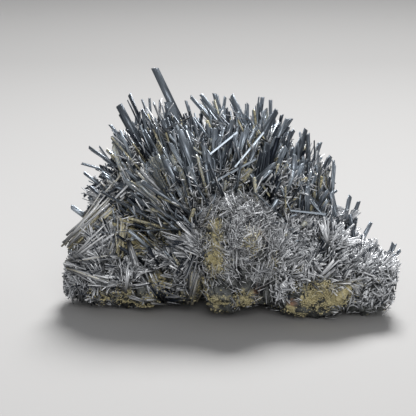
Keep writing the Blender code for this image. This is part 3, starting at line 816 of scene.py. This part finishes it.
def node(tree, kind, inputs=None, links=(), **settings):
    """Adds a node, sets its settings and inputs, and links (socket, from node, from socket)."""
    made = tree.nodes.new(kind)
    for name, value in settings.items():
        setattr(made, name, value)
    for name, value in (inputs or {}).items():
        made.inputs[name].default_value = value
    for name, source, socket in links:
        tree.links.new(source.outputs[socket], made.inputs[name])
    return made


def new_material(name):
    """A material with its node tree and its shader."""
    made = bpy.data.materials.new(name)
    made.use_nodes = True
    return made, made.node_tree, made.node_tree.nodes["Principled BSDF"]


def stibnite_crystal(name, dark, pale, metallic, rough, root_shade, shade_end=0.65, grit=0.03):
    """Antimony sulphide crystal with clean growth faces: lead-grey, metallic, with fine lines lengthways.

    Each crystal has its own grey, from dark to pale, bluish where it's clean, and ochre dust where the
    patches reach it. From shade_end of its length down it's darker, to root_shade at its root: painted
    shade, for the shadow among the crowded crystals' roots. The lines are 0.12 mm apart, coarse enough
    to show. Dust and pits stand grit mm out of it.
    """
    made, tree, shader = new_material(name)
    add = partial(node, tree)
    own = add("ShaderNodeAttribute", attribute_name="crystal")
    parts = add("ShaderNodeSeparateColor", links=[("Color", own, "Color")])
    strip = add("ShaderNodeUVMap", uv_map="strip")
    stretch = add("ShaderNodeMapping", {"Scale": (7.0, 0.22, 1.0)}, [("Vector", strip, "UV")])
    lines = add("ShaderNodeTexNoise", {"Scale": 1.2, "Detail": 3.0}, [("Vector", stretch, "Vector")])
    place = add("ShaderNodeTexCoord")
    # Dust grains and films about 0.5 mm across: 2000 to the metre.
    grain = add("ShaderNodeTexNoise", {"Scale": 2000.0, "Detail": 3.0}, [("Vector", place, "Object")])
    grey = colour_ramp(tree, dark, pale, parts, "Red")
    lined = add(
        "ShaderNodeMapRange", {"From Min": 0.3, "From Max": 0.7, "To Min": 0.5, "To Max": 1.4},
        [("Value", lines, "Fac")],
    )
    # Painted shade: each crystal darker from shade_end of its length down to root_shade at its root.
    root_painted_shade = add(
        "ShaderNodeMapRange", {"From Max": shade_end, "To Min": root_shade}, [("Value", parts, "Blue")]
    )
    dimmed = add("ShaderNodeMath", links=[(0, lined, "Result"), (1, root_painted_shade, "Result")], operation="MULTIPLY")
    shaded = add("ShaderNodeVectorMath", links=[(0, grey, "Color"), ("Scale", dimmed, 0)], operation="SCALE")
    patchy = add("ShaderNodeMath", links=[(0, grain, "Fac"), (1, parts, "Green")], operation="MULTIPLY")
    dusty = add("ShaderNodeMapRange", {"From Min": 0.20, "From Max": 0.48}, [("Value", patchy, 0)])
    ochre = colour_ramp(tree, "#c2b06e", "#fef7d2", grain, "Fac")
    base = add(
        "ShaderNodeMix", links=[(0, dusty, "Result"), (6, shaded, 0), (7, ochre, "Color")],
        data_type="RGBA",
    )
    stained = add(
        "ShaderNodeMix", {7: linear("#b9825a")}, [(0, own, "Alpha"), (6, base, 2)], data_type="RGBA"
    )
    clean = add("ShaderNodeMapRange", {"To Min": metallic, "To Max": 0.0}, [("Value", dusty, "Result")])
    matt = add("ShaderNodeMapRange", {"To Min": rough, "To Max": 0.95}, [("Value", dusty, "Result")])
    ribbed = add("ShaderNodeBump", {"Strength": 0.35, "Distance": 0.12 * MM}, [("Height", lines, "Fac")])
    bump = add(
        "ShaderNodeBump", {"Strength": 1.0, "Distance": grit * MM},
        [("Height", grain, "Fac"), ("Normal", ribbed, 0)],
    )
    for socket, source, output in (
        ("Base Color", stained, 2), ("Metallic", clean, 0), ("Roughness", matt, 0), ("Normal", bump, 0)
    ):
        tree.links.new(source.outputs[output], shader.inputs[socket])
    return made


def colour_ramp(tree, low, high, source, socket):
    """A ramp from the low colour to the high one, driven by a node's output."""
    made = node(tree, "ShaderNodeValToRGB", links=[("Fac", source, socket)])
    made.color_ramp.elements[0].color = linear(low)
    made.color_ramp.elements[1].color = linear(high)
    return made


def plain_surface(name, colour, rough, metallic):
    """One even finish: lead-grey, lightened by a painted highlight for the bright streak a needle shows."""
    made, _, shader = new_material(name)
    shader.inputs["Base Color"].default_value = linear(colour)
    shader.inputs["Roughness"].default_value = rough
    shader.inputs["Metallic"].default_value = metallic
    return made


def board_surface(name, near, far):
    """A matt board that darkens evenly with distance behind the specimen: painted shade, for light falling
    off.
    """
    made, tree, shader = new_material(name)
    here = node(tree, "ShaderNodeTexCoord")
    parts = node(tree, "ShaderNodeSeparateXYZ", links=[(0, here, "Object")])
    start, end = (place * MM for place in BOARD_PAINTED_SHADE)
    away = node(tree, "ShaderNodeMapRange", {"From Min": start, "From Max": end}, [("Value", parts, "Y")])
    shade = colour_ramp(tree, near, far, away, "Result")
    tree.links.new(shade.outputs["Color"], shader.inputs["Base Color"])
    shader.inputs["Roughness"].default_value = 0.9
    return made


# --------------------------------------
# The specimen.


def dress(piece, material):
    """Gives a piece its material, and says what it stands for."""
    piece.data.materials.append(material)
    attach(piece, "root")
    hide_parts("crystal_cluster")


def dress_crystals(name, material, *tables, sides=4, rings=3):
    """One dressed piece, with every crystal of the tables as a prism."""
    dress(mesh_object(name, *prisms(joined(*tables), sides, rings, rng)), material)


def ground_shells(lumps, across, around):
    """The lumps, drawn in a little, broken by three noises, and flat where they meet the surface below."""
    centres = np.array([centre for centre, _ in lumps])[:, None, None]
    halves = np.array([half for _, half in lumps])[:, None, None]
    points = centres + boxed(ball_grid(across, around)) * halves
    relief = 1.2 * lattice_noise(points, 4.0, 61) + 0.7 * lattice_noise(points, 1.8, 62)
    relief = relief + 0.6 * lattice_noise(points, 0.9, 63) - 0.9
    relief = relief - 2.2 * np.clip(lattice_noise(points, 3.1, 65) - 0.35, 0, 1)
    points = points + unit(points - centres) * relief[..., None]
    points[..., 2] = np.maximum(points[..., 2], 0.0)
    return points


def scattered_spray(part_rng, rng):
    """The part's scattered spray, apart from the crystals that would end outside its box."""
    end, way, width, turn = spray(part_rng)
    rows = table(
        end - way * SPRAY_LENGTH, way, SPRAY_LENGTH, width, width * FLATNESS, turn,
        rng.uniform(0.15, 0.75, len(end)),
    )
    return only(rows, (np.abs(end[:, 0]) < HALF_BOX[0]) & (np.abs(end[:, 1]) < HALF_BOX[1]))


def placed_crystals(rng):
    """The part's placed crystals, with its own turn and thickness where a row sets none."""
    placed = [row if len(row) > 5 else (*row, 20, row[4] * FLATNESS) for row in HAND_PLACED]
    end, lean, pitch, length, width, turn, thickness = (
        np.array(column, float) for column in zip(*placed, strict=True)
    )
    way = ways_of(lean, pitch)
    return table(
        end - way * length[:, None], way, length, width, thickness, turn + 90,
        rng.uniform(0.25, 0.8, len(placed)),
    )


def fill(rng):
    """Thin blades all over the dome, to go between the main ones."""
    out = unit(rng.normal(size=(FILL_COUNT * 4, 3)))
    out[:, 2] = np.abs(out[:, 2])
    out = out[out[:, 2] > FILL_FLATTEST][:FILL_COUNT]
    end = SPRAY_HEART + out * dome_towards(out) * rng.uniform(*FILL_SHARES, len(out))[:, None]
    astray = np.where(rng.uniform(0, 1, (len(out), 1)) < 0.25, 0.55, 0.20)
    way = unit(unit(end - SPRAY_HEART) + rng.normal(size=out.shape) * astray)
    width = rng.uniform(*FILL_WIDTHS, len(out)) * rng.uniform(0.6, 1.0, len(out))
    rows = thin_blades(end, way, width, rng)
    rows["bend"] = rng.normal(size=len(out)) * 0.3
    return only(rows, ~inside(end, main_lumps, 0.98))


def wide_blades(rows, rng):
    """A few of the given crystals' followers, made wide."""
    rows = followers(rows, 2, rng)
    rows = only(rows, rng.permutation(len(rows["root"]))[:WIDE_COUNT])
    rows["width"] = rng.uniform(*WIDE_WIDTHS, WIDE_COUNT)
    rows["thickness"] = rows["width"] * WIDE_FLATNESS
    return rows


def grown(rows):
    """Thin blades that have grown down into the ground mass, where they fit."""
    return fitting(rooted(rows, main_lumps, THIN_SINK, THIN_MOST))


main_lumps = list(LUMPS.values())
part_rng = np.random.default_rng(SEED)
bunch_list = bunches(part_rng)
ground = [*((np.array(centre), np.array(half)) for centre, half in main_lumps), *bunch_list]

rng = np.random.default_rng(LOOKS_SEED)
spray_rows = scattered_spray(part_rng, rng)
placed_rows = placed_crystals(rng)
main_rows = clear_of_loose_needles(rooted(joined(placed_rows, spray_rows), main_lumps))
tall = (main_rows["width"] > TALL_WIDTH) & (tips(main_rows)[:, 2] > TALL_HEIGHT)
sheaf = (main_rows["width"] > SHEAF_WIDTH) & (main_rows["thickness"] > SHEAF_THICKNESS) & ~tall
blades = only(main_rows, ~sheaf & ~tall)
sheaves = only(main_rows, sheaf)
tall_blade = only(main_rows, tall)
tall_blade["tone"][:] = TALL_TONE
tall_blade["dust"][:] = TALL_DUST
fill_rows = fill(rng)
wide_rows = grown(wide_blades(placed_rows, rng))
fill_rows = grown(joined(fill_rows, followers(placed_rows, FOLLOWERS, rng)))

# The fifth number of each is root_shade: painted shade at a crystal's root, 0 for black and 1 for none.
crystal = stibnite_crystal("stibnite_growth_faces", "#18202d", "#c0cbd6", 0.62, 0.33, 0.0, 0.95)
fibre = stibnite_crystal("stibnite_matted_fibres", "#2b333e", "#f9fbfe", 0.32, 0.30, 0.12)
mass = stibnite_crystal("stibnite_dark_ground", "#14171b", "#858885", 0.20, 0.50, 1.0, grit=0.6)
# The loose needles' pale grey is their own lead-grey plus a painted highlight for their bright streaks.
highlight_paint = plain_surface("stibnite_needle_painted_highlight", "#a9b3bd", 0.30, 0.5)

for name, lumps, across, around in (
    ("ground_mass", main_lumps, 52, 90),
    ("ground_bunches", bunch_list, 20, 34),
):
    mass_points = ground_shells(lumps, across, around)
    flat_points = mass_points.reshape(-1, 3)
    mass_tone = 0.45 + 0.5 * lattice_noise(flat_points, 2.2, 64) + 0.6 * lattice_noise(flat_points, 0.8, 66)
    dress(shells_object(name, mass_points, mass_tone, 1.5 * ochre_at(flat_points)), mass)
dress_crystals("spray_blades", crystal, blades, tall_blade, wide_rows, sides=6, rings=4)
split = [
    strands(rows, STRANDS[kind], rng)
    for kind, rows in (("blades", blades), ("wide", wide_rows), ("sheaves", sheaves))
]
dress_crystals("spray_strands", crystal, *split)
dress_crystals("spray_fill", crystal, fill_rows)
stray_rows = fitting(strays(fill_rows, STRAYS, rng))
sprout_rows = fitting(sprouts(fill_rows, SPROUT_COUNT, rng))
dress_crystals("spray_strays", fibre, stray_rows, sprout_rows, rings=2)
dress_crystals("fans", fibre, fans(FANS, rng), sides=6)
broad_rows = fans(BROAD_FANS, rng)
dress_crystals("broad_fans", crystal, broad_rows, sides=6, rings=4)
dress_crystals("broad_fan_strands", crystal, strands(broad_rows, STRANDS["broad"], rng))
face_points, face_normals = open_faces(ground, FELT_POINTS, rng)
for zone in ("left", "centre", "low", "right", "back"):
    layers = [felt(layer, face_points, face_normals, rng) for layer in FELT if layer[0] == zone]
    dress_crystals(f"felt_{zone}", fibre, *layers, rings=2)
grains = crust(*open_faces(ground, CRUST_POINTS, rng), rng)
grain_dust = np.repeat(rng.uniform(*CRUST_DUST, len(grains)), grains.shape[1] * grains.shape[2])
dress(shells_object("ochre_crust", grains, CRUST_TONE, grain_dust), mass)

# The loose needles take the pale finish, with its painted highlight.
for name in LOOSE_NEEDLES:
    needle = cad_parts[name]
    needle.data.materials.clear()
    needle.data.materials.append(highlight_paint)

# --------------------------------------
# Floor, light and camera.

FLOOR_HALF = 3000.0
# The board's darkening towards the back is painted shade, for the light falling off behind the specimen.
BOARD_PAINTED_SHADE = (60.0, 480.0)  # how far behind the specimen the board starts and stops darkening
ROOM_COLOUR, ROOM_STRENGTH = "#e6e8ec", 0.26
CAMERA_AIM = np.array((-7.7, 0.0, 32.6))
CAMERA_AWAY = 620.0
CAMERA_SENSOR, CAMERA_LENS = 36.0, 163.5

floor_points = np.array([(-1, -1, 0), (1, -1, 0), (1, 1, 0), (-1, 1, 0)], float) * FLOOR_HALF
floor = mesh_object(
    "floor", floor_points, np.array([[0, 1, 2, 3]]), np.zeros((0, 4), int), np.ones((4, 3)),
    floor_points[:, :2],
)
# The far colour is darker: painted shade towards the back of the board.
floor.data.materials.append(board_surface("pale_board_painted_shade", "#b4b3b2", "#9c9b9a"))


def area_light(name, place, aim, size, power, spread=180.0):
    """Adds a round light: size across, power in watts, and spread in degrees."""
    data = bpy.data.lights.new(name, "AREA")
    data.shape = "DISK"
    data.size = size * MM
    data.energy = power
    data.spread = math.radians(spread)
    light = bpy.data.objects.new(name, data)
    bpy.context.scene.collection.objects.link(light)
    light.location = np.array(place) * MM
    look_at(light, place, aim)


def look_at(thing, place, aim):
    """Turns a light or a camera, which look down their own -Z, from its place to the aim."""
    thing.rotation_euler = (Vector(aim) - Vector(place)).to_track_quat("-Z", "Y").to_euler()


area_light("top_softbox", (150.0, 720.0, 960.0), (0.0, 0.0, 0.0), 500.0, 8.2, spread=110.0)
area_light("front_softbox", (100.0, -950.0, 500.0), (0.0, 0.0, 30.0), 500.0, 4.0)
world = bpy.data.worlds.new("pale_room")
bpy.context.scene.world = world
world.use_nodes = True
world.node_tree.nodes["Background"].inputs["Color"].default_value = linear(ROOM_COLOUR)
world.node_tree.nodes["Background"].inputs["Strength"].default_value = ROOM_STRENGTH

camera_data = bpy.data.cameras.new("camera")
camera_data.sensor_width = CAMERA_SENSOR
camera_data.lens = CAMERA_LENS
camera = bpy.data.objects.new("camera", camera_data)
bpy.context.scene.collection.objects.link(camera)
camera_place = CAMERA_AIM + CAMERA_AWAY * np.array((0.0, -math.cos(FRONT_RISE), math.sin(FRONT_RISE)))
camera.location = camera_place * MM
look_at(camera, camera_place * MM, CAMERA_AIM * MM)
bpy.context.scene.camera = camera
bpy.context.scene.view_settings.view_transform = "Standard"
